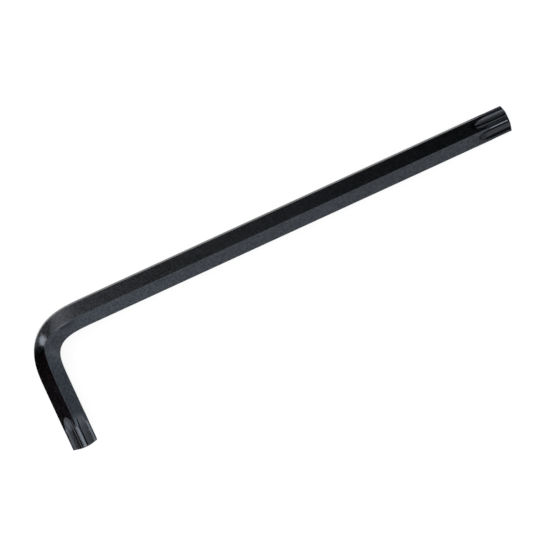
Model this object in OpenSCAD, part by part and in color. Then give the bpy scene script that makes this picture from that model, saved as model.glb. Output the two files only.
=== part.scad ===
// L-shaped star key: one hexagon bar with a right-angle bend and a six-lobe star ground on each end.
// It lies on a flat surface with two opposite edges of the bar upright over each other.
// The long arm runs along +X, the short arm along -Y, and the origin is below the middle of the box.

/* [Bar] */
// Hexagon bar, across the flats
bar_af = 8; // [6.5:0.1:10]
// Height that the rounding takes off the six sharp edges of the bar
edge_trim = 0.06; // [0.02:0.01:0.2]

/* [Arms] */
// Long arm, from the back of the short arm to the end of its tip
long_len = 162; // [80:1:300]
// Short arm, from the back of the long arm to the end of its tip
short_len = 41.5; // [36:0.5:120]

/* [Bend] */
// Radius of the bend, on the bar's axis
bend_r = 11.9; // [8:0.1:16]

/* [Star tips] */
// Diameter that the tips are turned to, over the lobes
star_d = 8.83; // [8.2:0.01:9.5]
// Depth of a flute below the lobes
flute_depth = 1.22; // [0.9:0.01:1.5]
// Radius of a lobe's flank
lobe_r = 0.72; // [0.5:0.01:1]
// Height of the full round of a lobe that the turned diameter takes off
lobe_trim = 0.06; // [0.03:0.01:0.1]
// Length of a flute at its full depth
flute_len = 5.6; // [4:0.1:9]
// Radius of the wheel that grinds a flute and leaves its run-out
wheel_r = 16; // [10:0.5:25]
// Length turned past the full depth of the flutes
turned_past = 1; // [0.5:0.1:2]
// Angle of the shoulder between the turned length and the bar's edges, in degrees
shoulder_angle = 10; // [6:1:30]
// Diameter of the flat on the end of a tip
end_flat_d = 4.4; // [3:0.1:5.5]
// Length of the bevel round the end of a tip
end_bevel = 0.6; // [0.2:0.05:1]
// Plain bar between a flute's run-out and the arm
plain_len = 1.4; // [0.5:0.1:4]

/* [Hidden] */
$fn = 96;

// Distance that a cutter runs past the surface that it cuts
overrun = 0.5;
// Colours of the blackened bar and of its ground tips
black_steel = [0.16, 0.17, 0.18];
ground_steel = [0.22, 0.23, 0.24];

// The bar's section has a flat square to X and an edge on Y, and so on at every sixth of a turn
sides = 6;
sector = 360 / sides;
half_sector = sector / 2;
sharp_r = bar_af / 2 / cos(half_sector);
edge_reach = sharp_r - edge_trim;

// The bend turns a right angle, so it starts and ends one bend radius from the crossing of the axes
bend_angle = 90;

// The star: a flute's round touches the flanks of the lobes on both sides of it
star_r = star_d / 2;
root_r = star_r - flute_depth;
lobe_centre_r = star_r + lobe_trim - lobe_r;
flute_r = (pow(lobe_centre_r, 2) + pow(root_r, 2) - pow(lobe_r, 2)
           - 2 * lobe_centre_r * root_r * cos(half_sector))
          / (2 * (lobe_r + lobe_centre_r * cos(half_sector) - root_r));
flute_centre = [root_r + flute_r, 0];
lobe_centre = lobe_centre_r * [cos(half_sector), sin(half_sector)];
touch_point = flute_centre + (lobe_centre - flute_centre) * flute_r / (flute_r + lobe_r);

// The wheel leaves the bar where its rim has risen to the flat, and turns as far again to be clear
wheel_axis = root_r + wheel_r;
ground_depth = bar_af / 2 - root_r;
runout_len = sqrt(pow(wheel_r, 2) - pow(wheel_r - ground_depth, 2));
wheel_angle = 2 * asin(runout_len / wheel_r);

// Lengths along a tip, from its end
turned_len = flute_len + turned_past;
shoulder_len = max(0, edge_reach - star_r) / tan(shoulder_angle);
tip_len = max(flute_len + runout_len, turned_len + shoulder_len) + plain_len;

// Ends of the tips and of the straight arms, from the crossing of the two axes
long_end = long_len - bar_af / 2;
short_end = short_len - bar_af / 2;

// Section of the bar: a hexagon whose corners are rounded about the bar's axis
module bar_section() {
    intersection() {
        rotate(half_sector)
            circle(r = sharp_r, $fn = sides);
        circle(r = edge_reach);
    }
}

// What the wheel takes out between two lobes, with the flat's direction on X
module flute_section() {
    far = sharp_r + overrun;
    spread = tan(half_sector / 2);
    flank = [touch_point, lobe_centre, [far, lobe_centre.y + (far - lobe_centre.x) * spread]];
    other_flank = [for (i = [len(flank) - 1 : -1 : 0]) [flank[i].x, -flank[i].y]];
    difference() {
        polygon(concat(flank, other_flank));
        for (side = [-1, 1])
            translate([lobe_centre.x, side * lobe_centre.y])
                circle(r = lobe_r);
    }
    translate(flute_centre)
        circle(r = flute_r);
}

// One flute, from the end of the tip along +Z to the end of its run-out
module flute_cut() {
    translate([0, 0, -overrun])
        linear_extrude(flute_len + overrun)
            flute_section();
    translate([wheel_axis, 0, flute_len])
        rotate([90, 0, 180])
            rotate_extrude(angle = wheel_angle)
                translate([wheel_axis, 0])
                    mirror([1, 0])
                        flute_section();
}

// Star tip with its end on the ground and its bar along +Z
module star_tip() {
    shoulder_top = tip_len + overrun;
    difference() {
        intersection() {
            translate([0, 0, -overrun])
                linear_extrude(tip_len + overrun)
                    bar_section();
            rotate_extrude()
                polygon([
                    [0, 0], [end_flat_d / 2, 0], [star_r, end_bevel], [star_r, turned_len],
                    [star_r + (shoulder_top - turned_len) * tan(shoulder_angle), shoulder_top],
                    [0, shoulder_top]
                ]);
        }
        for (i = [0 : sides - 1])
            rotate(i * sector)
                flute_cut();
    }
}

// Turns a shape that stands along +Z to lie along -X, as the long arm does seen from its tip
module along_long_arm() {
    rotate([90, 0, -90])
        children();
}

// Turns a shape that stands along +Z to lie along +Y, as the short arm does seen from its tip
module along_short_arm() {
    rotate([90, 0, 180])
        children();
}

// Moves a shape from the crossing of the two axes to the part's own origin
module placed() {
    translate([bar_af / 2 - long_len / 2, short_len / 2 - bar_af / 2, edge_reach])
        children();
}

module long_arm() {
    color(black_steel)
        placed()
            translate([long_end - tip_len, 0, 0])
                along_long_arm()
                    linear_extrude(long_end - tip_len - bend_r)
                        bar_section();
}

module bend() {
    color(black_steel)
        placed()
            translate([bend_r, -bend_r, 0])
                rotate(bend_angle)
                    rotate_extrude(angle = bend_angle)
                        translate([bend_r, 0])
                            bar_section();
}

module short_arm() {
    color(black_steel)
        placed()
            translate([0, tip_len - short_end, 0])
                along_short_arm()
                    linear_extrude(short_end - tip_len - bend_r)
                        bar_section();
}

module long_star_tip() {
    color(ground_steel)
        placed()
            translate([long_end, 0, 0])
                along_long_arm()
                    star_tip();
}

module short_star_tip() {
    color(ground_steel)
        placed()
            translate([0, -short_end, 0])
                along_short_arm()
                    star_tip();
}

long_arm();
bend();
short_arm();
long_star_tip();
short_star_tip();
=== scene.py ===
import math
from typing import NamedTuple

import bmesh
import bpy
from bpy.props import FloatProperty, FloatVectorProperty, IntProperty, PointerProperty
from mathutils import Matrix, Vector


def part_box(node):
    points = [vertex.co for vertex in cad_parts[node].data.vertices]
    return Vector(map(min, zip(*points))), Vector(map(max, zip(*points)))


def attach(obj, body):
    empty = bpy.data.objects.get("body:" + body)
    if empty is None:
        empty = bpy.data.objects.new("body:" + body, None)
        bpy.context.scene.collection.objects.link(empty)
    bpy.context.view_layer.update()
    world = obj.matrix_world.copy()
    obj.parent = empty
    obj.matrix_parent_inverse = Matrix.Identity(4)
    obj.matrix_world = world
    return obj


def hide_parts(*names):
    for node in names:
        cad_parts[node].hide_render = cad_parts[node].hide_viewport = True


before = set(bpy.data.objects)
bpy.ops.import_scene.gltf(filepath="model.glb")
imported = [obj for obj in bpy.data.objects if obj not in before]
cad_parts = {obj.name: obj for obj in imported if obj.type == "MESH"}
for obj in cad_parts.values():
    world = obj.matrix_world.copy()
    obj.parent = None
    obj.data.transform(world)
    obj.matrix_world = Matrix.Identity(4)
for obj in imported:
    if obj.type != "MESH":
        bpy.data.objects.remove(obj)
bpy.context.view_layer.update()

bl_info = {
    "name": "Star Key",
    "version": (1, 0, 0),
    "blender": (4, 5, 0),
    "location": "3D View > Sidebar > Star Key",
    "description": "Dresses an L-shaped hexagon bar key with six-lobe star tips",
    "category": "Object",
}

# Facts of the frame, in metres: the bar lies along +X from the bend, then along -Y
LONG_ARM_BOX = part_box("long_arm")
SHORT_ARM_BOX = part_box("short_arm")
LONG_TIP_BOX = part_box("long_star_tip")
SHORT_TIP_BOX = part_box("short_star_tip")
ACROSS_FLATS = LONG_ARM_BOX[1][1] - LONG_ARM_BOX[0][1]
TIP_LENGTH = LONG_TIP_BOX[1][0] - LONG_TIP_BOX[0][0]
# Where the axes of the two arms cross
CROSSING = Vector((
    (SHORT_ARM_BOX[0][0] + SHORT_ARM_BOX[1][0]) / 2,
    (LONG_ARM_BOX[0][1] + LONG_ARM_BOX[1][1]) / 2,
    (LONG_ARM_BOX[0][2] + LONG_ARM_BOX[1][2]) / 2,
))
LONG_REACH = LONG_TIP_BOX[1][0] - CROSSING.x
SHORT_REACH = CROSSING.y - SHORT_TIP_BOX[0][1]

SIDES = 6
HALF_SECTOR = math.pi / SIDES
SHARP_RADIUS = ACROSS_FLATS / 2 / math.cos(HALF_SECTOR)
# Stretches between the rings of points of a straight arm
ARM_RINGS = 8
# Name of the vertex layer that holds a point's place in the bar's section and its length along the bar
ALONG_BAR = "along_bar"
# Names of the vertex layers that are 1 where hands and screws rub the bar and where a highlight is painted
# on it, where a wheel has ground it, and where shade is painted on it
WEAR_AND_HIGHLIGHT = "rubbed"
GROUND = "ground"
PAINTED_SHADE = "darkened"
WEAR_AND_LIGHT_LAYERS = (WEAR_AND_HIGHLIGHT, GROUND, PAINTED_SHADE)


class BarSettings(bpy.types.PropertyGroup):
    """Sizes of the bent bar."""
    edge_setback: FloatProperty(
        name="Edge setback", description="How far the rounding of an edge reaches on to each flat",
        default=0.00008, unit="LENGTH", precision=5)
    edge_steps: IntProperty(
        name="Edge steps", description="Faces across the rounding of an edge", default=6)
    flat_steps: IntProperty(
        name="Flat steps", description="Cuts across each flat of the bar", default=59)
    bend_length: FloatProperty(
        name="Bend length", description="Length of bar that curves, measured on its axis",
        default=0.03135, unit="LENGTH", precision=5)
    long_lead: FloatProperty(
        name="Long lead",
        description="Share of the bend's length over which its curve builds up from the long arm",
        default=0.712, subtype="FACTOR")
    short_lead: FloatProperty(
        name="Short lead",
        description="Share of the bend's length over which its curve dies out to the short arm",
        default=0.53, subtype="FACTOR")
    bend_steps: IntProperty(
        name="Bend steps", description="Rings of faces round the bend", default=72)
    edge_shift: FloatProperty(
        name="Edge shift",
        description="How far the tightest part of the bend moves its top and bottom edges outwards",
        default=0.00115, unit="LENGTH", precision=5)
    shift_focus: FloatProperty(
        name="Shift focus", description="How closely the edge shift keeps to the tightest part of the bend",
        default=4.0)
    bend_crown: FloatProperty(
        name="Crown", description="How far bending swells the middle of each sloping face",
        default=0.00012, unit="LENGTH", precision=5)


class TipSettings(bpy.types.PropertyGroup):
    """Sizes of the ground star tips."""
    star_diameter: FloatProperty(
        name="Star diameter", description="Diameter over the lobes",
        default=0.00883, unit="LENGTH", precision=5)
    flute_depth: FloatProperty(
        name="Flute depth", description="Depth of a flute below the lobes",
        default=0.00122, unit="LENGTH", precision=5)
    lobe_radius: FloatProperty(
        name="Lobe radius", description="Radius of a lobe's flank",
        default=0.00072, unit="LENGTH", precision=5)
    lobe_trim: FloatProperty(
        name="Lobe trim", description="Height that turning takes off the full round of a lobe",
        default=0.00006, unit="LENGTH", precision=5)
    flute_length: FloatProperty(
        name="Flute length", description="Length of a flute at its full depth",
        default=0.0056, unit="LENGTH", precision=5)
    short_extra: FloatProperty(
        name="Short extra", description="How much longer the flutes of the short tip are",
        default=0.0003, unit="LENGTH", precision=5)
    wheel_radius: FloatProperty(
        name="Wheel radius", description="Radius of the wheel that grinds a flute",
        default=0.016, unit="LENGTH", precision=5)
    turned_length: FloatProperty(
        name="Turned length", description="Length of the tip that is turned to the star's diameter",
        default=0.0066, unit="LENGTH", precision=5)
    shoulder_angle: FloatProperty(
        name="Shoulder angle", description="Slope from the turned length up to the edges of the bar",
        default=math.radians(10), subtype="ANGLE")
    end_flat_diameter: FloatProperty(
        name="End flat", description="Diameter of the flat on the end",
        default=0.0044, unit="LENGTH", precision=5)
    end_bevel: FloatProperty(
        name="End bevel", description="Length of the bevel round the end",
        default=0.0006, unit="LENGTH", precision=5)
    softness: FloatProperty(
        name="Softness", description="How far the ground edges are rounded over",
        default=0.00004, unit="LENGTH", precision=5)


class FinishSettings(bpy.types.PropertyGroup):
    """Colours and gloss of the blackened steel."""
    black: FloatVectorProperty(
        name="Black", description="Blackened steel where the coating is thickest",
        default=(0.0375, 0.0425, 0.0500), subtype="COLOR")
    grey: FloatVectorProperty(
        name="Grey", description="Blackened steel where the coating is thinnest",
        default=(0.0600, 0.0670, 0.0775), subtype="COLOR")
    # Bright steel shows through where edges are worn, and it also stands in for the painted highlights on
    # the tips and the bend
    bright: FloatVectorProperty(
        name="Bright", description="Steel that shows through on rubbed edges",
        default=(0.39, 0.43, 0.50), subtype="COLOR")
    ground: FloatVectorProperty(
        name="Ground", description="Blackened steel in the ground flutes",
        default=(0.058, 0.062, 0.071), subtype="COLOR")
    # Painted shade: near black that stands in for shade in the flutes, run-outs and outer lobes of the tips
    # and on the bend
    shade_black: FloatVectorProperty(
        name="Deepest", description="Blackened steel in corners and where the flutes run out",
        default=(0.006, 0.0065, 0.007), subtype="COLOR")
    roughness: FloatProperty(
        name="Roughness", description="Roughness of the satin finish", default=0.17, subtype="FACTOR")
    ground_roughness: FloatProperty(
        name="Ground roughness", description="Roughness that grinding adds in the flutes",
        default=0.04, subtype="FACTOR")
    edge_tint: FloatProperty(
        name="Edge tint", description="Strength of the gloss on faces that are seen nearly edge-on",
        default=0.25, subtype="FACTOR")


class StageSettings(bpy.types.PropertyGroup):
    """Camera, floor and light."""
    frame_pixels: IntProperty(
        name="Frame", description="Width and height of the picture, in pixels", default=550)
    crossing_pixel_x: FloatProperty(
        name="Crossing X",
        description="Where the axes of the arms cross, in pixels from the left of the picture",
        default=34.45)
    crossing_pixel_y: FloatProperty(
        name="Crossing Y",
        description="Where the axes of the arms cross, in pixels from the top of the picture",
        default=334.73)
    pixels_per_metre: FloatProperty(
        name="Picture scale", description="Pixels of the picture to a metre of the key", default=3297.0)
    tilt_back: FloatProperty(
        name="Tilt back", description="Lean of the view towards the back of the long arm",
        default=math.radians(6.396), subtype="ANGLE")
    tilt_along: FloatProperty(
        name="Tilt along", description="Lean of the view towards the tip of the long arm",
        default=math.radians(-0.381), subtype="ANGLE")
    roll: FloatProperty(
        name="Roll", description="Rise of the long arm across the picture",
        default=math.radians(24.672), subtype="ANGLE")
    lens: FloatProperty(
        name="Lens", description="Focal length of the camera, in millimetres", default=500.0)


class Wire:
    """A socket of a node tree. Sums and products of wires add Math nodes to the tree."""

    def __init__(self, tree, socket=None):
        self.tree = tree
        self.socket = socket

    def node(self, kind, settings=None, sockets=None, output=0):
        """Adds a node, sets it up, feeds its sockets with wires or values, and returns an output."""
        made = self.tree.nodes.new(kind)
        for name, value in (settings or {}).items():
            if name == "stops":
                elements = made.color_ramp.elements
                while len(elements) < len(value):
                    elements.new(1.0)
                for element, (place, colour) in zip(elements, value):
                    element.position = place
                    element.color = (*colour, 1.0)
            else:
                setattr(made, name, value)
        for name, value in (sockets or {}).items():
            if isinstance(value, Wire):
                self.tree.links.new(value.socket, made.inputs[name])
            else:
                made.inputs[name].default_value = value
        return Wire(self.tree, made.outputs[output] if made.outputs else None)

    def maths(self, operation, first, second):
        return self.node("ShaderNodeMath", {"operation": operation}, {0: first, 1: second})

    def __add__(self, other):
        return self.maths("ADD", self, other)

    def __sub__(self, other):
        return self.maths("SUBTRACT", self, other)

    def __rsub__(self, other):
        return self.maths("SUBTRACT", other, self)

    def __mul__(self, other):
        return self.maths("MULTIPLY", self, other)

    __radd__ = __add__
    __rmul__ = __mul__


def smooth_step(low, high, value):
    """0 below low, 1 above high, and a smooth rise between them."""
    share = min(max((value - low) / (high - low), 0.0), 1.0)
    return share * share * (3 - 2 * share)


class Ramp(NamedTuple):
    """A smooth change from 0 at one value to 1 at another, which may be the smaller."""
    zero: float
    one: float

    def at(self, value):
        return smooth_step(self.zero, self.one, value)


class Band(NamedTuple):
    """1 from first to last, with a smooth rise before it and a smooth fall after it."""
    rise: float
    first: float
    last: float
    fall: float

    def at(self, value):
        return smooth_step(self.rise, self.first, value) * smooth_step(self.fall, self.last, value)


def soft_min(first, second, softness):
    """The smaller of two lengths, with the corner between them rounded over."""
    overlap = max(softness - abs(first - second), 0.0) / softness
    return min(first, second) - overlap * overlap * softness / 4


def spread(low, high, steps):
    """Evenly spaced values from low to high, both included."""
    return [low + (high - low) * i / steps for i in range(steps + 1)]


class BarPath:
    """The axis of the whole bar, from the end of the long tip to the end of the short tip."""

    def __init__(self, bar):
        self.bar = bar
        self.step = bar.bend_length / bar.bend_steps
        weights = [self.tightness((i + 0.5) / bar.bend_steps) for i in range(bar.bend_steps)]
        self.tightest = max(weights)
        self.turns = [math.pi / 2 * weight / sum(weights) for weight in weights]
        # A walk through the bend goes ahead along the long arm and aside along the short arm
        walk = Matrix.Identity(4)
        for turn in self.turns:
            walk = walk @ self.turned_step(self.step, turn)
        self.bend_start = LONG_REACH - walk.translation.z
        self.bend_end = self.bend_start + bar.bend_length
        self.length = self.bend_end + SHORT_REACH - walk.translation.x

    def tightness(self, share):
        """How tightly the bar curves at a share of the bend's length."""
        return smooth_step(0, self.bar.long_lead, share) * smooth_step(0, self.bar.short_lead, 1 - share)

    @staticmethod
    def turned_step(length, turn):
        """One step along the bar that turns towards the inside of the bend."""
        radius = length / turn
        inside = Matrix.Translation((radius, 0, 0))
        return inside @ Matrix.Rotation(turn, 4, "Y") @ inside.inverted()

    def at(self, along):
        """Frame of the section at a length along the bar: X to the inside of the bend, Y up, Z onwards."""
        start = Matrix((
            (0, 0, -1, CROSSING.x + LONG_REACH),
            (-1, 0, 0, CROSSING.y),
            (0, 1, 0, CROSSING.z),
            (0, 0, 0, 1),
        ))
        place = start @ Matrix.Translation((0, 0, min(along, self.bend_start)))
        left = along - self.bend_start
        for turn in self.turns:
            if left <= 0:
                return place
            part = min(left / self.step, 1.0)
            place = place @ self.turned_step(self.step * part, turn * part)
            left -= self.step
        return place @ Matrix.Translation((0, 0, max(left, 0.0)))


class StarTip:
    """Outline of a ground star tip, as a radius for each direction and each distance from the end."""
    # Rings of points on the end bevel, along the full flutes and along their run-outs
    bevel_rings = 16
    flute_rings = 6
    runout_rings = 64
    # Close rings go a little past the bevel, as a share of it, and a little past the longest run-out
    bevel_share = 1.3
    runout_end = 0.0115

    def __init__(self, tip, extra=0.0):
        self.tip = tip
        self.flute_length = tip.flute_length + extra
        self.star_radius = tip.star_diameter / 2
        self.root_radius = self.star_radius - tip.flute_depth
        lobe_place = self.star_radius + tip.lobe_trim - tip.lobe_radius
        self.lobe = Vector((lobe_place * math.cos(HALF_SECTOR), lobe_place * math.sin(HALF_SECTOR)))
        self.flute_radius = (
            (lobe_place ** 2 + self.root_radius ** 2 - tip.lobe_radius ** 2
             - 2 * lobe_place * self.root_radius * math.cos(HALF_SECTOR))
            / (2 * (tip.lobe_radius + self.lobe.x - self.root_radius)))
        self.flute_place = self.root_radius + self.flute_radius

    def turned(self, from_end):
        """Radius that the lathe leaves: the end bevel, the star's diameter and the shoulder behind it."""
        tip = self.tip
        end_flat = tip.end_flat_diameter / 2
        bevel = end_flat + (self.star_radius - end_flat) * from_end / tip.end_bevel
        shoulder = self.star_radius + max(from_end - tip.turned_length, 0.0) * math.tan(tip.shoulder_angle)
        return soft_min(bevel, shoulder, tip.softness)

    def ground(self, angle, from_end):
        """Radius that the wheel leaves in a direction, counted from the middle of the nearest flute."""
        past = max(from_end - self.flute_length, 0.0)
        if past >= self.tip.wheel_radius:
            return math.inf
        lift = self.tip.wheel_radius - math.sqrt(self.tip.wheel_radius ** 2 - past ** 2)
        flute_place = self.flute_place + lift
        lobe = self.lobe + Vector((lift, 0))
        reach = lobe - Vector((flute_place, 0))
        touch = Vector((flute_place, 0)) + reach.normalized() * self.flute_radius
        if angle <= math.atan2(touch.y, touch.x):
            aside = flute_place * math.sin(angle)
            return flute_place * math.cos(angle) - math.sqrt(self.flute_radius ** 2 - aside ** 2)
        lobe_angle = math.atan2(lobe.y, lobe.x)
        aside = min(lobe.length * abs(math.sin(angle - lobe_angle)), self.tip.lobe_radius)
        return (lobe.length * math.cos(angle - lobe_angle)
                + math.sqrt(self.tip.lobe_radius ** 2 - aside ** 2))

    def radius(self, angle, bar_radius, from_end):
        """Radius of the finished tip, where the plain bar has the given radius."""
        sector = 2 * HALF_SECTOR
        from_flat = abs((angle + HALF_SECTOR) % sector - HALF_SECTOR)
        shank = soft_min(bar_radius, self.turned(from_end), self.tip.softness)
        return soft_min(shank, self.ground(from_flat, from_end), self.tip.softness)

    def stations(self):
        """Distances from the end at which the tip has a ring of points, close where its shape changes."""
        bevel_end = self.tip.end_bevel * self.bevel_share
        return (spread(0.0, bevel_end, self.bevel_rings)
                + spread(bevel_end, self.flute_length, self.flute_rings)[1:]
                + spread(self.flute_length, self.runout_end, self.runout_rings)[1:]
                + [TIP_LENGTH])


def bar_section(bm, bar):
    """Rounded hexagon in the XY plane, with a flat square to X and an edge on Y."""
    bmesh.ops.create_circle(bm, cap_ends=True, radius=SHARP_RADIUS, segments=SIDES)
    bmesh.ops.bevel(
        bm, geom=bm.verts[:], offset=bar.edge_setback, offset_type="OFFSET", segments=bar.edge_steps,
        profile=0.5, affect="VERTICES", material=-1)
    flats = [edge for edge in bm.edges if edge.calc_length() > SHARP_RADIUS / 2]
    bmesh.ops.subdivide_edges(bm, edges=flats, cuts=bar.flat_steps)
    return bm.faces[:][0]


def drawn_bar(name, stations, path, shape, wear_and_light):
    """A stretch of bar: its section is drawn along the path, and shape says what becomes of each point.

    The last argument says, for each point, how much worn steel and painted highlight, grinding and painted
    shade it carries."""
    bar = path.bar
    bm = bmesh.new()
    for layer in WEAR_AND_LIGHT_LAYERS:
        bm.verts.layers.float.new(layer)
    along_layer = bm.verts.layers.float_vector.new(ALONG_BAR)
    wear_and_light_layers = [bm.verts.layers.float[layer] for layer in WEAR_AND_LIGHT_LAYERS]
    face = bar_section(bm, bar)
    for vert in face.verts:
        vert[along_layer] = vert.co
    for i, along in enumerate(stations):
        if i > 0:
            extruded = bmesh.ops.extrude_face_region(bm, geom=[face])["geom"]
            face = next(item for item in extruded if isinstance(item, bmesh.types.BMFace))
        place = path.at(along)
        for vert in face.verts:
            base = vert[along_layer]
            for layer, amount in zip(wear_and_light_layers, wear_and_light(base, along)):
                vert[layer] = amount
            vert[along_layer] = (base.x, base.y, along)
            vert.co = place @ shape(base, along)
    bmesh.ops.recalc_face_normals(bm, faces=bm.faces[:])
    for side in bm.faces:
        side.smooth = len(side.verts) == 4
    for edge in bm.edges:
        edge.smooth = all(len(side.verts) == 4 for side in edge.link_faces)
    mesh = bpy.data.meshes.new(name)
    bm.to_mesh(mesh)
    bm.free()
    piece = bpy.data.objects.new(name, mesh)
    bpy.context.scene.collection.objects.link(piece)
    return piece


# Rubbing of the bar's edges, by distance from the axis as a share of that of a sharp edge
EDGE_RUB = 0.03
EDGE_SHARES = Ramp(0.95, 0.99)
# Painted light on the bend, at shares of the bend's length: a painted highlight, a lighter line on the top
# and bottom edges, and beside it painted shade, a darker strip some way to the inside of the bend
BEND_HIGHLIGHT = 0.26
BEND_HIGHLIGHT_SHARES = Band(0.22, 0.30, 0.37, 0.45)
BEND_HIGHLIGHT_EDGE_SHARES = Ramp(0.975, 0.995)
BEND_HIGHLIGHT_WIDTH = Ramp(0.001, 0.0005)
BEND_SHADE = 0.35
BEND_SHADE_SHARES = Band(0.18, 0.27, 0.32, 0.42)
BEND_SHADE_INWARDS = Band(0.0002, 0.0005, 0.0006, 0.0024)


def edge_wear(base):
    """How much the six edges of the bar are rubbed."""
    return EDGE_RUB * EDGE_SHARES.at(math.hypot(base.x, base.y) / SHARP_RADIUS)


def bar_wear(base, along):
    """The straight bar is worn a little on its edges, with no grinding and no painted shade."""
    return edge_wear(base), 0.0, 0.0


def bend_wear_and_light(path):
    """The bend is worn on its edges, and carries a painted highlight along its top and bottom edges with
    painted shade beside it.
    """

    def wear_and_light(base, along):
        share = (along - path.bend_start) / path.bar.bend_length
        line = BEND_HIGHLIGHT_SHARES.at(share) * BEND_HIGHLIGHT_WIDTH.at(abs(base.x))
        line *= BEND_HIGHLIGHT_EDGE_SHARES.at(math.hypot(base.x, base.y) / SHARP_RADIUS)
        strip = BEND_SHADE_SHARES.at(share) * BEND_SHADE_INWARDS.at(base.x)
        # Worn edges, the painted highlight line and the painted shade strip
        return max(edge_wear(base), BEND_HIGHLIGHT * line), 0.0, BEND_SHADE * strip

    return wear_and_light


def bar_shape(path):
    """Shape of the bar: bending swells its sloping faces and moves the edges between them outwards."""
    bar = path.bar

    def shape(base, along):
        tightness = path.tightness((along - path.bend_start) / bar.bend_length) / path.tightest
        from_edge = abs(base.x) / (ACROSS_FLATS / 2)
        shift = bar.edge_shift * tightness ** bar.shift_focus * (1 - from_edge)
        angle = math.atan2(base.y, base.x)
        face_angle = round(angle / (2 * HALF_SECTOR)) * 2 * HALF_SECTOR
        across = math.tan(angle - face_angle) / math.tan(HALF_SECTOR)
        slope = abs(math.sin(face_angle)) / math.cos(HALF_SECTOR)
        crown = bar.bend_crown * tightness * slope * (1 - across ** 2)
        return Vector((
            base.x - shift + crown * math.cos(face_angle),
            base.y + crown * math.sin(face_angle),
            0.0))

    return shape


def tip_shape(star, end_along):
    """Shape of a star tip whose end is at a length along the bar."""

    def shape(base, along):
        angle = math.atan2(base.y, base.x)
        radius = star.radius(angle, math.hypot(base.x, base.y), abs(along - end_along))
        return Vector((radius * math.cos(angle), radius * math.sin(angle), 0.0))

    return shape


class TipWearAndLight(NamedTuple):
    """Painted light and worn steel on a star tip: two places in metres, then amounts from 0 to 1.

    Inner and outer are the sides of the tip towards the inside and the outside of the bend."""
    top_line_from: float
    rubbed_length: float
    # Amounts of lighter steel, partly worn and partly painted highlight
    inner_flanks_highlight: float
    outer_flanks_highlight: float
    edge_highlight: float
    ridge_highlight: float
    runouts_highlight: float
    outer_flutes_highlight: float
    # Amounts of painted shade
    inner_flutes_shade: float
    outer_lobes_shade: float
    inner_rims_shade: float


LONG_TIP_WEAR_AND_LIGHT = TipWearAndLight(
    top_line_from=0.00013,
    rubbed_length=0.0063,
    inner_flanks_highlight=0.0,
    outer_flanks_highlight=0.0,
    edge_highlight=0.0,
    ridge_highlight=0.0,
    runouts_highlight=0.0,
    outer_flutes_highlight=0.17,
    inner_flutes_shade=0.85,
    outer_lobes_shade=0.85,
    inner_rims_shade=0.95,
)
SHORT_TIP_WEAR_AND_LIGHT = TipWearAndLight(
    top_line_from=-0.002,
    rubbed_length=0.0066,
    inner_flanks_highlight=0.52,
    outer_flanks_highlight=0.34,
    edge_highlight=0.36,
    ridge_highlight=0.35,
    runouts_highlight=0.045,
    outer_flutes_highlight=0.0,
    inner_flutes_shade=0.0,
    outer_lobes_shade=0.0,
    inner_rims_shade=0.3,
)

# Degrees from the plane of the bend: side lobes stand at 30, top and bottom lobes at 90
UPRIGHT_RISE = Ramp(58, 72)
# Where the flanks of the side lobes carry lighter steel, partly worn and partly painted highlight, on the
# inner and the outer side
INNER_FLANK_RISE = Band(33.0, 36.0, 38.5, 41.5)
OUTER_FLANK_RISE = Band(34.5, 37.5, 40.0, 43.0)
# Share of its radius that a point has lost to the wheel
GROUND_SHARES = Ramp(0.0, 0.03)
# Crests of the lobes, by radius as a share of the star's, with less of the lighter top line where turning
# took most off
CREST_SHARES = Ramp(0.955, 0.99)
TURNED_SHARES = Ramp(0.9, 0.98)
# The lighter top line on the crests, partly worn steel and partly painted highlight, inwards from the axis
TOP_LINE_FADE = 0.00015
TOP_LINE_END = Ramp(0.00050, 0.00030)
# How the lighter steel, partly worn and partly painted highlight, fades out at the end of its length, and
# how much longer it is on the flanks
HIGHLIGHT_FADE = 0.0009
INNER_FLANK_EXTRA = 0.0006
OUTER_FLANK_EXTRA = 0.0011
# Lighter steel on the outer flutes and on the run-outs, partly polished and partly painted highlight
FLUTE_HIGHLIGHT_INWARDS = Ramp(-0.0008, -0.0032)
RUNOUT_HIGHLIGHT_FROM_END = Band(0.0030, 0.0052, 0.0088, 0.0102)
# The lighter edge behind the top lobe, on its inner side, and the lighter ridge on its outer side, partly
# worn and partly painted highlight
EDGE_FROM_END = Band(0.0066, 0.0078, 0.0080, 0.0114)
EDGE_INWARDS = Band(0.0, 0.0003, 0.0010, 0.0018)
RIDGE_FROM_END = Band(0.0062, 0.0074, 0.0088, 0.0104)
RIDGE_INWARDS = Band(-0.0018, -0.0010, -0.0003, 0.0)
# Painted shade on the steep walls of the inner flutes, found by the change of radius over a small turn in
# radians
WALL_TURN = 0.02
WALL_STEEPNESS = Ramp(0.6, 1.2)
WALL_INWARDS = Ramp(0.0010, 0.0022)
# Painted shade in the run-outs of the inner flutes: on the bar beside them, and how much darker it is
# painted on the ground steel
RUNOUT_SHADE = 0.25
RUNOUT_GROUND_SHADE = 0.35
RUNOUT_FROM_END = Band(0.0076, 0.0086, 0.0100, 0.0120)
RUNOUT_INWARDS = Ramp(0.0, 0.0022)
# Painted shade on the rims of the inner run-outs, by the share of its radius that a point has lost to the
# wheel
RIM_LOST = Band(0.0, 0.002, 0.018, 0.045)
RIM_FROM_END = Ramp(0.0064, 0.0076)
RIM_INWARDS = Ramp(0.0, 0.0006)
# Painted shade on the floors of the inner flutes, and a painted dark line beside the lighter top line
FLUTE_FLOOR_SHADE = 0.25
FLOOR_INWARDS = Ramp(0.0, 0.0010)
BESIDE_SHADE = 0.7
BESIDE_LINE = Band(-0.0005, -0.0003, 0.0, 0.0001)
BESIDE_FROM_END = Ramp(0.0075, 0.0060)
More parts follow.
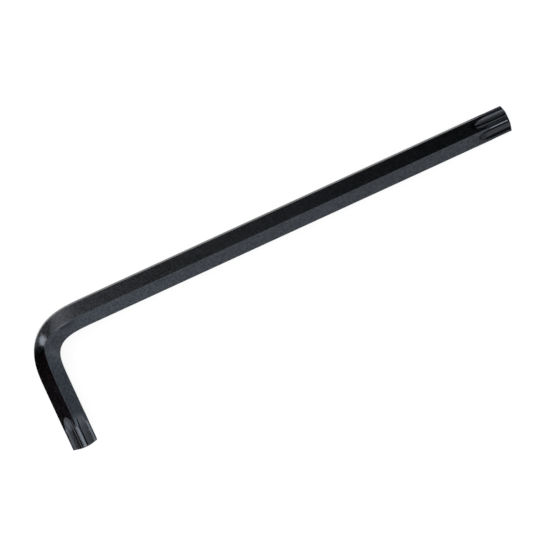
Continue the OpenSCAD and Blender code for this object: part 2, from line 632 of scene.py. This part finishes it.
# Painted shade on the outer lobes and on the tail of the outer flutes
OUTER_INWARDS = Ramp(-0.0033, -0.0037)
OUTER_FROM_END = Ramp(0.0105, 0.0070)
TAIL_FROM_END = Band(0.0082, 0.0096, 0.0106, 0.0120)
TAIL_INWARDS = Band(-0.0034, -0.0028, -0.0017, -0.0009)


class TipPoint:
    """A point of a star tip: its place in the plain bar's section, and what lathe and wheel made of it."""

    def __init__(self, star, base, from_end):
        self.star = star
        self.base = base
        self.from_end = from_end
        self.angle = math.atan2(base.y, base.x)
        self.plain = math.hypot(base.x, base.y)
        self.radius = star.radius(self.angle, self.plain, from_end)
        self.rise = math.degrees(math.atan2(abs(base.y), abs(base.x)))
        self.upright = UPRIGHT_RISE.at(self.rise)
        self.lost = 1 - self.radius / min(self.plain, star.turned(from_end))
        self.ground = GROUND_SHARES.at(self.lost)

    def rubbed_over(self, length):
        """1 where the point lies within a length of the end, with a soft end."""
        return smooth_step(length + HIGHLIGHT_FADE, length - HIGHLIGHT_FADE, self.from_end)

    def rubbed(self, amounts):
        """Lighter steel on the top lobes, on the flanks of the others and on the edges behind them, partly
        worn by screws and hands and partly painted highlight.
        """
        inwards = self.base.x
        length = amounts.rubbed_length
        crest = CREST_SHARES.at(self.radius / self.star.star_radius)
        crest *= TURNED_SHARES.at(self.star.star_radius / self.plain)
        line = amounts.top_line_from
        top = crest * self.upright * TOP_LINE_END.at(inwards)
        top *= smooth_step(line, line + TOP_LINE_FADE, inwards) * self.rubbed_over(length)
        if inwards > 0:
            flank = amounts.inner_flanks_highlight * INNER_FLANK_RISE.at(self.rise)
            flank *= self.rubbed_over(length + INNER_FLANK_EXTRA)
        else:
            flank = amounts.outer_flanks_highlight * OUTER_FLANK_RISE.at(self.rise)
            flank *= self.rubbed_over(length + OUTER_FLANK_EXTRA)
        flute_highlight = amounts.outer_flutes_highlight * self.ground * FLUTE_HIGHLIGHT_INWARDS.at(inwards)
        runout = amounts.runouts_highlight * self.ground * RUNOUT_HIGHLIGHT_FROM_END.at(self.from_end)
        edge = amounts.edge_highlight * (1 - self.ground)
        edge *= EDGE_FROM_END.at(self.from_end) * EDGE_INWARDS.at(inwards)
        ridge = amounts.ridge_highlight * RIDGE_FROM_END.at(self.from_end) * RIDGE_INWARDS.at(inwards)
        return max(edge_wear(self.base), top, flank, flute_highlight, runout, edge, ridge)

    def darkened(self, amounts):
        """Painted shade on steep walls, in and round run-outs, and beside the lighter top line."""
        inwards = self.base.x
        low = self.star.radius(self.angle - WALL_TURN, self.plain, self.from_end)
        high = self.star.radius(self.angle + WALL_TURN, self.plain, self.from_end)
        steepness = abs(high - low) / (2 * WALL_TURN * self.radius)
        wall = WALL_STEEPNESS.at(steepness) * WALL_INWARDS.at(inwards)
        runout = RUNOUT_SHADE + RUNOUT_GROUND_SHADE * self.ground
        runout *= RUNOUT_FROM_END.at(self.from_end) * RUNOUT_INWARDS.at(inwards)
        rim = RIM_LOST.at(self.lost) * RIM_FROM_END.at(self.from_end) * RIM_INWARDS.at(inwards)
        beside = BESIDE_SHADE * self.upright * BESIDE_LINE.at(inwards - amounts.top_line_from)
        beside *= BESIDE_FROM_END.at(self.from_end)
        floor = FLUTE_FLOOR_SHADE * self.ground * FLOOR_INWARDS.at(inwards)
        lobes = OUTER_INWARDS.at(inwards) * OUTER_FROM_END.at(self.from_end)
        tail = TAIL_FROM_END.at(self.from_end) * TAIL_INWARDS.at(inwards)
        return max(
            amounts.inner_flutes_shade * max(wall, runout, beside, floor),
            amounts.outer_lobes_shade * max(lobes, tail),
            amounts.inner_rims_shade * rim)


def tip_wear_and_light(star, end_along, amounts):
    """Painted light and worn steel on a star tip whose end is at a length along the bar."""

    def wear_and_light(base, along):
        point = TipPoint(star, base, abs(along - end_along))
        return point.rubbed(amounts), point.ground, point.darkened(amounts)

    return wear_and_light


# Waves to a metre of the steel's mottle, drawing marks and grain, across and along the bar
MOTTLE_SCALE = (420.0, 420.0, 260.0)
STREAK_SCALE = (3000.0, 3000.0, 140.0)
GRAIN_SCALE = (2000.0, 2000.0, 1900.0)
# Detail of each pattern, and the roughness of all three
MOTTLE_DETAIL = 3.0
STREAK_DETAIL = 2.0
GRAIN_DETAIL = 0.0
PATTERN_ROUGHNESS = 0.6
# Shares of the three patterns in the tone of the coat, and the tones of its thickest and thinnest places
MOTTLE_SHARE = 0.2
STREAK_SHARE = 0.1
GRAIN_SHARE = 0.7
BLACK_TONE = 0.42
GREY_TONE = 0.58
# Middle of a pattern, and how far mottle and grain change the gloss about it
PATTERN_MIDDLE = 0.5
MOTTLE_GLOSS = 0.1
GRAIN_GLOSS = 0.16
# Heights of the drawing marks on the bar and on its tips and of the grain, and the depth in metres and
# the strength of all of them
BAR_STREAK_HEIGHT = 1.0
TIP_STREAK_HEIGHT = 2.0
GRAIN_HEIGHT = 0.3
BUMP_DEPTH = 0.00003
BUMP_STRENGTH = 0.17


def patchy(mask, pattern, least, swing):
    """A mask that a pattern makes stronger in some places than in others."""
    return mask * (least + pattern * swing)


def blackened_steel(name, finish, streak_height):
    """Black oxide on steel: satin, faintly mottled, with drawing marks along the bar, worn edges, painted
    highlights and painted shade.
    """
    material = bpy.data.materials.new(name)
    material.use_nodes = True
    tree = material.node_tree
    tree.nodes.clear()
    start = Wire(tree)
    along = start.node("ShaderNodeAttribute", {"attribute_name": ALONG_BAR}, output="Vector")
    rubbed = start.node("ShaderNodeAttribute", {"attribute_name": WEAR_AND_HIGHLIGHT}, output="Fac")
    ground = start.node("ShaderNodeAttribute", {"attribute_name": GROUND}, output="Fac")
    darkened = start.node("ShaderNodeAttribute", {"attribute_name": PAINTED_SHADE}, output="Fac")

    def pattern(scale, detail):
        place = start.node("ShaderNodeVectorMath", {"operation": "MULTIPLY"}, {0: along, 1: scale})
        return start.node("ShaderNodeTexNoise", {"noise_dimensions": "3D"}, {
            "Vector": place, "Scale": 1.0, "Detail": detail, "Roughness": PATTERN_ROUGHNESS})

    def mixed(factor, under, over):
        return start.node("ShaderNodeMix", {"data_type": "RGBA"}, {
            "Factor": factor, 6: under, 7: (*over, 1.0)}, output=2)

    mottle = pattern(MOTTLE_SCALE, MOTTLE_DETAIL)
    streaks = pattern(STREAK_SCALE, STREAK_DETAIL)
    grain = pattern(GRAIN_SCALE, GRAIN_DETAIL)
    tone = mottle * MOTTLE_SHARE + streaks * STREAK_SHARE + grain * GRAIN_SHARE
    coat = start.node("ShaderNodeValToRGB", {
        "stops": ((BLACK_TONE, finish.black), (GREY_TONE, finish.grey))}, {"Fac": tone})
    fluted = mixed(patchy(ground, streaks, least=0.4, swing=0.8), coat, finish.ground)
    # Painted shade: near black mixed in where the shade layer is set
    with_painted_shade = mixed(patchy(darkened, mottle, least=0.8, swing=0.4), fluted, finish.shade_black)
    # Bright steel where edges are worn and where highlights are painted
    colour = mixed(patchy(rubbed, mottle + grain, least=0.4, swing=0.4), with_painted_shade, finish.bright)
    gloss = (finish.roughness + ground * finish.ground_roughness
             + (mottle - PATTERN_MIDDLE) * MOTTLE_GLOSS + (grain - PATTERN_MIDDLE) * GRAIN_GLOSS)
    normal = start.node("ShaderNodeBump", None, {
        "Strength": BUMP_STRENGTH, "Distance": BUMP_DEPTH,
        "Height": streaks * streak_height + grain * GRAIN_HEIGHT})
    shader = start.node("ShaderNodeBsdfPrincipled", None, {
        "Base Color": colour, "Metallic": 1.0, "Roughness": gloss, "Normal": normal,
        "Specular Tint": (finish.edge_tint, finish.edge_tint, finish.edge_tint, 1.0)})
    start.node("ShaderNodeOutputMaterial", None, {"Surface": shader})
    return material


def finish_piece(piece, node, material):
    """Gives a piece its finish and its place in the frame."""
    piece.data.materials.append(material)
    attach(piece, "root")
    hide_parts(node)


def shared_material(name, finish, streak_height):
    """The material of that name, made the first time that it is asked for."""
    return bpy.data.materials.get(name) or blackened_steel(name, finish, streak_height)


class STARKEY_OT_arms(bpy.types.Operator):
    """Draws the two straight arms of the bar"""
    bl_idname = "star_key.arms"
    bl_label = "Arms"

    def execute(self, context):
        scene = context.scene
        path = BarPath(scene.key_bar)
        steel = shared_material("bar_steel", scene.key_finish, BAR_STREAK_HEIGHT)
        spans = {
            "long_arm": (TIP_LENGTH, path.bend_start),
            "short_arm": (path.bend_end, path.length - TIP_LENGTH),
        }
        for node, (start, end) in spans.items():
            stations = spread(start, end, ARM_RINGS)
            piece = drawn_bar(node + "_bar", stations, path, bar_shape(path), bar_wear)
            finish_piece(piece, node, steel)
        return {"FINISHED"}


class STARKEY_OT_bend(bpy.types.Operator):
    """Draws the right-angle bend between the arms"""
    bl_idname = "star_key.bend"
    bl_label = "Bend"

    def execute(self, context):
        scene = context.scene
        path = BarPath(scene.key_bar)
        steel = shared_material("bar_steel", scene.key_finish, BAR_STREAK_HEIGHT)
        stations = spread(path.bend_start, path.bend_end, scene.key_bar.bend_steps)
        piece = drawn_bar("bend_bar", stations, path, bar_shape(path), bend_wear_and_light(path))
        finish_piece(piece, "bend", steel)
        return {"FINISHED"}


class STARKEY_OT_star_tips(bpy.types.Operator):
    """Grinds the six-lobe star on both ends of the bar"""
    bl_idname = "star_key.star_tips"
    bl_label = "Star tips"

    def execute(self, context):
        scene = context.scene
        path = BarPath(scene.key_bar)
        star = StarTip(scene.key_tip)
        short_star = StarTip(scene.key_tip, scene.key_tip.short_extra)
        steel = shared_material("tip_steel", scene.key_finish, TIP_STREAK_HEIGHT)
        tips = {
            "long_star_tip": (
                star.stations(),
                tip_shape(star, 0.0),
                tip_wear_and_light(star, 0.0, LONG_TIP_WEAR_AND_LIGHT)),
            "short_star_tip": (
                [path.length - distance for distance in reversed(short_star.stations())],
                tip_shape(short_star, path.length),
                tip_wear_and_light(short_star, path.length, SHORT_TIP_WEAR_AND_LIGHT)),
        }
        for node, (stations, shape, wear_and_light) in tips.items():
            piece = drawn_bar(node + "_bar", stations, path, shape, wear_and_light)
            finish_piece(piece, node, steel)
        return {"FINISHED"}


def grey(level):
    """A colour without a hue."""
    return level, level, level


class Card(NamedTuple):
    """A flat card of the stage: its size, its middle, the way that it faces, and its colours.

    The colours change along X or Y of the frame. Each stop is a place on that axis and a colour."""
    size: tuple
    middle: Vector
    facing: Vector
    axis: str
    stops: tuple


# The left card stands square to a bearing from the crossing of the axes
LEFT_BEARING = math.radians(161)
LEFT_WAY = Vector((math.cos(LEFT_BEARING), math.sin(LEFT_BEARING), 0.0))
LEFT_DISTANCE = 0.55
LEFT_HEIGHT = 0.45
# Ways that the other cards face
BACKWARDS = Vector((0, 1, 0))
LEFTWARDS = Vector((-1, 0, 0))
DOWNWARDS = Vector((0, 0, -1))
CARDS = {
    "back_card": Card((0.94, 0.45), Vector((0.145, 0.32, 0.25)), -BACKWARDS, "X", (
        (-0.210, (0.40, 0.38, 0.37)),
        (-0.165, (1.50, 1.42, 1.37)),
        (-0.140, (1.70, 1.60, 1.54)),
        (-0.080, (0.92, 0.88, 0.85)),
        (-0.056, (0.31, 0.30, 0.28)),
        (0.000, (0.28, 0.27, 0.26)),
        (0.020, (0.19, 0.18, 0.18)),
        (0.070, grey(0.06)),
    )),
    "left_card": Card(
        (0.97, 0.75), CROSSING + LEFT_WAY * LEFT_DISTANCE + Vector((0, 0, LEFT_HEIGHT)), -LEFT_WAY, "Y", (
            (-0.26, (0.85, 0.80, 0.82)),
            (-0.19, (0.70, 0.66, 0.68)),
            (-0.14, (0.06, 0.03, 0.033)),
            (0.02, (0.06, 0.03, 0.033)),
            (0.09, grey(0.0)),
        )),
    "right_card": Card((0.7, 0.5), Vector((0.5, 0.0, 0.3)), LEFTWARDS, "Y", (
        (-0.26, (1.33, 1.34, 1.37)),
        (-0.17, (0.98, 1.00, 1.03)),
        (-0.12, (0.70, 0.73, 0.77)),
        (-0.08, (0.62, 0.66, 0.70)),
    )),
    "front_card": Card((0.9, 0.45), Vector((0.0, -0.4, 0.25)), BACKWARDS, "X", (
        (-0.075, (1.20, 1.23, 1.25)),
        (-0.050, (1.12, 1.14, 1.17)),
        (-0.030, grey(0.98)),
        (0.030, grey(0.98)),
        (0.075, (0.90, 0.89, 0.89)),
    )),
    "low_card": Card((0.24, 0.16), Vector((0.36, -0.39, 0.08)), BACKWARDS, "X", (
        (0.24, grey(0.3)),
        (0.48, grey(0.3)),
    )),
    "left_top_card": Card((0.38, 0.215), Vector((-0.19, -0.0075, 0.45)), DOWNWARDS, "X", (
        (-0.38, grey(0.16)),
        (-0.27, grey(0.18)),
        (-0.19, grey(0.28)),
        (-0.14, grey(0.50)),
        (-0.10, grey(0.60)),
        (0.00, grey(0.60)),
    )),
    "left_front_card": Card((0.48, 0.385), Vector((-0.26, -0.3075, 0.45)), DOWNWARDS, "X", (
        (-0.50, grey(1.90)),
        (-0.39, grey(1.85)),
        (-0.20, grey(1.40)),
        (-0.08, grey(1.20)),
        (-0.02, grey(1.20)),
    )),
    "right_top_card": Card((0.3, 0.45), Vector((0.15, 0.075, 0.45)), DOWNWARDS, "Y", (
        (-0.15, grey(0.72)),
        (0.00, grey(0.38)),
        (0.09, grey(0.22)),
        (0.30, grey(0.14)),
    )),
}
# The lamp is aimed at the crossing of the axes from behind the bend
LAMP_SIZE = (0.18, 0.20)
LAMP_WAY = Vector((-0.708, 0.576, 0.407))
LAMP_DISTANCE = 0.42
LAMP_RADIANCE = 5.0
LAMP_COLOUR = (1.0, 0.97, 0.94)
# The floor's half width, its colour, and the glow that makes it white where it is seen directly
FLOOR_REACH = 2.0
FLOOR_COLOUR = grey(0.5)
FLOOR_GLOW = 0.825
# Light of the world on other surfaces, which is white where it is seen directly
WORLD_LIGHT = 0.5
WHITE = (1.0, 1.0, 1.0, 1.0)


def stage_card(name, setting):
    """A card for the steel to reflect. The camera doesn't see it."""
    bm = bmesh.new()
    turn = setting.facing.to_track_quat("Z", "Y").to_matrix().to_4x4()
    width, height = setting.size
    matrix = Matrix.Translation(setting.middle) @ turn @ Matrix.Diagonal((width / 2, height / 2, 1.0, 1.0))
    bmesh.ops.create_grid(bm, x_segments=1, y_segments=1, size=1.0, matrix=matrix)
    mesh = bpy.data.meshes.new(name)
    bm.to_mesh(mesh)
    bm.free()
    card = bpy.data.objects.new(name, mesh)
    bpy.context.scene.collection.objects.link(card)
    material = bpy.data.materials.new(name)
    material.use_nodes = True
    tree = material.node_tree
    tree.nodes.clear()
    start = Wire(tree)
    low = setting.stops[0][0]
    high = setting.stops[-1][0]
    point = start.node("ShaderNodeTexCoord", output="Object")
    across = start.node("ShaderNodeSeparateXYZ", None, {"Vector": point}, output=setting.axis)
    share = start.node("ShaderNodeMapRange", None, {
        "Value": across, "From Min": low, "From Max": high, "To Min": 0.0, "To Max": 1.0})
    colour = start.node("ShaderNodeValToRGB", {
        "stops": [((stop - low) / (high - low), shade) for stop, shade in setting.stops]}, {"Fac": share})
    glow = start.node("ShaderNodeEmission", None, {"Color": colour, "Strength": 1.0})
    start.node("ShaderNodeOutputMaterial", None, {"Surface": glow})
    mesh.materials.append(material)
    card.visible_camera = False
    card.visible_diffuse = False
    card.visible_transmission = False
    card.visible_shadow = False


def soft_box(name, size, place, target, radiance, colour):
    """An oval lamp that faces a point. Its power is worked out from the brightness of its front."""
    lamp = bpy.data.lights.new(name, "AREA")
    lamp.shape = "ELLIPSE"
    lamp.size, lamp.size_y = size
    area = math.pi * size[0] * size[1] / 4
    lamp.energy = radiance * math.pi * area
    lamp.color = colour
    holder = bpy.data.objects.new(name, lamp)
    turn = (place - target).to_track_quat("Z", "Y").to_matrix().to_4x4()
    holder.matrix_world = Matrix.Translation(place) @ turn
    holder.visible_camera = False
    bpy.context.scene.collection.objects.link(holder)


def seen_directly(start):
    """1 for rays that show the background itself, straight or in metal or glass."""
    camera = start.node("ShaderNodeLightPath", output="Is Camera Ray")
    glossy = start.node("ShaderNodeLightPath", output="Is Glossy Ray")
    through = start.node("ShaderNodeLightPath", output="Is Transmission Ray")
    clamped_sum = {"operation": "ADD", "use_clamp": True}
    return start.node("ShaderNodeMath", clamped_sum, {0: camera + glossy, 1: through})


class STARKEY_OT_stage(bpy.types.Operator):
    """Sets the camera, the white floor and the soft light"""
    bl_idname = "star_key.stage"
    bl_label = "Stage"

    def execute(self, context):
        scene = context.scene
        stage = scene.key_stage
        self.camera(scene, stage)
        self.floor()
        self.light(scene)
        scene.view_settings.view_transform = "Standard"
        return {"FINISHED"}

    @staticmethod
    def camera(scene, stage):
        back = Vector((math.tan(stage.tilt_along), math.tan(stage.tilt_back), 1.0)).normalized()
        along = Vector((1, 0, 0))
        along = (along - along.dot(back) * back).normalized()
        across = back.cross(along)
        right = along * math.cos(stage.roll) - across * math.sin(stage.roll)
        up = along * math.sin(stage.roll) + across * math.cos(stage.roll)
        middle = stage.frame_pixels / 2
        target = (CROSSING
                  + right * (middle - stage.crossing_pixel_x) / stage.pixels_per_metre
                  + up * (stage.crossing_pixel_y - middle) / stage.pixels_per_metre)
        data = bpy.data.cameras.new("camera")
        data.lens = stage.lens
        width = stage.frame_pixels / stage.pixels_per_metre
        distance = width * data.lens / data.sensor_width
        camera = bpy.data.objects.new("camera", data)
        turn = Matrix((right, up, back)).transposed().to_4x4()
        camera.matrix_world = Matrix.Translation(target + back * distance) @ turn
        scene.collection.objects.link(camera)
        scene.camera = camera

    @staticmethod
    def floor():
        bm = bmesh.new()
        bmesh.ops.create_grid(bm, x_segments=1, y_segments=1, size=FLOOR_REACH)
        mesh = bpy.data.meshes.new("floor")
        bm.to_mesh(mesh)
        bm.free()
        floor = bpy.data.objects.new("floor", mesh)
        bpy.context.scene.collection.objects.link(floor)
        material = bpy.data.materials.new("floor")
        material.use_nodes = True
        tree = material.node_tree
        tree.nodes.clear()
        start = Wire(tree)
        paper = start.node("ShaderNodeBsdfDiffuse", None, {"Color": (*FLOOR_COLOUR, 1.0)})
        glow = start.node("ShaderNodeEmission", None, {
            "Color": WHITE, "Strength": seen_directly(start) * FLOOR_GLOW})
        both = start.node("ShaderNodeAddShader", None, {0: paper, 1: glow})
        start.node("ShaderNodeOutputMaterial", None, {"Surface": both})
        mesh.materials.append(material)

    @staticmethod
    def light(scene):
        world = bpy.data.worlds.new("studio")
        world.use_nodes = True
        world.node_tree.nodes.clear()
        start = Wire(world.node_tree)
        sky = start.node("ShaderNodeBackground", None, {
            "Color": WHITE, "Strength": seen_directly(start) * (1 - WORLD_LIGHT) + WORLD_LIGHT})
        start.node("ShaderNodeOutputWorld", None, {"Surface": sky})
        scene.world = world
        place = CROSSING + LAMP_WAY * LAMP_DISTANCE
        soft_box("key", LAMP_SIZE, place, CROSSING, LAMP_RADIANCE, LAMP_COLOUR)
        for name, setting in CARDS.items():
            stage_card(name, setting)


class STARKEY_PT_panel(bpy.types.Panel):
    """Sidebar panel with the key's sizes and the steps that make it"""
    bl_idname = "STARKEY_PT_panel"
    bl_label = "Star Key"
    bl_space_type = "VIEW_3D"
    bl_region_type = "UI"
    bl_category = "Star Key"

    def draw(self, context):
        for group in GROUPS:
            box = self.layout.box()
            for name in GROUPS[group].__annotations__:
                box.prop(getattr(context.scene, group), name)
        for operator in OPERATORS:
            self.layout.operator(operator.bl_idname)


GROUPS = {
    "key_bar": BarSettings,
    "key_tip": TipSettings,
    "key_finish": FinishSettings,
    "key_stage": StageSettings,
}
OPERATORS = (STARKEY_OT_stage, STARKEY_OT_arms, STARKEY_OT_bend, STARKEY_OT_star_tips)


def register():
    for group, settings in GROUPS.items():
        bpy.utils.register_class(settings)
        setattr(bpy.types.Scene, group, PointerProperty(type=settings))
    for operator in OPERATORS:
        bpy.utils.register_class(operator)
    bpy.utils.register_class(STARKEY_PT_panel)


def unregister():
    bpy.utils.unregister_class(STARKEY_PT_panel)
    for operator in reversed(OPERATORS):
        bpy.utils.unregister_class(operator)
    for group, settings in GROUPS.items():
        delattr(bpy.types.Scene, group)
        bpy.utils.unregister_class(settings)


def main():
    register()
    bpy.ops.star_key.stage()
    bpy.ops.star_key.arms()
    bpy.ops.star_key.bend()
    bpy.ops.star_key.star_tips()


if __name__ == "__main__":
    main()
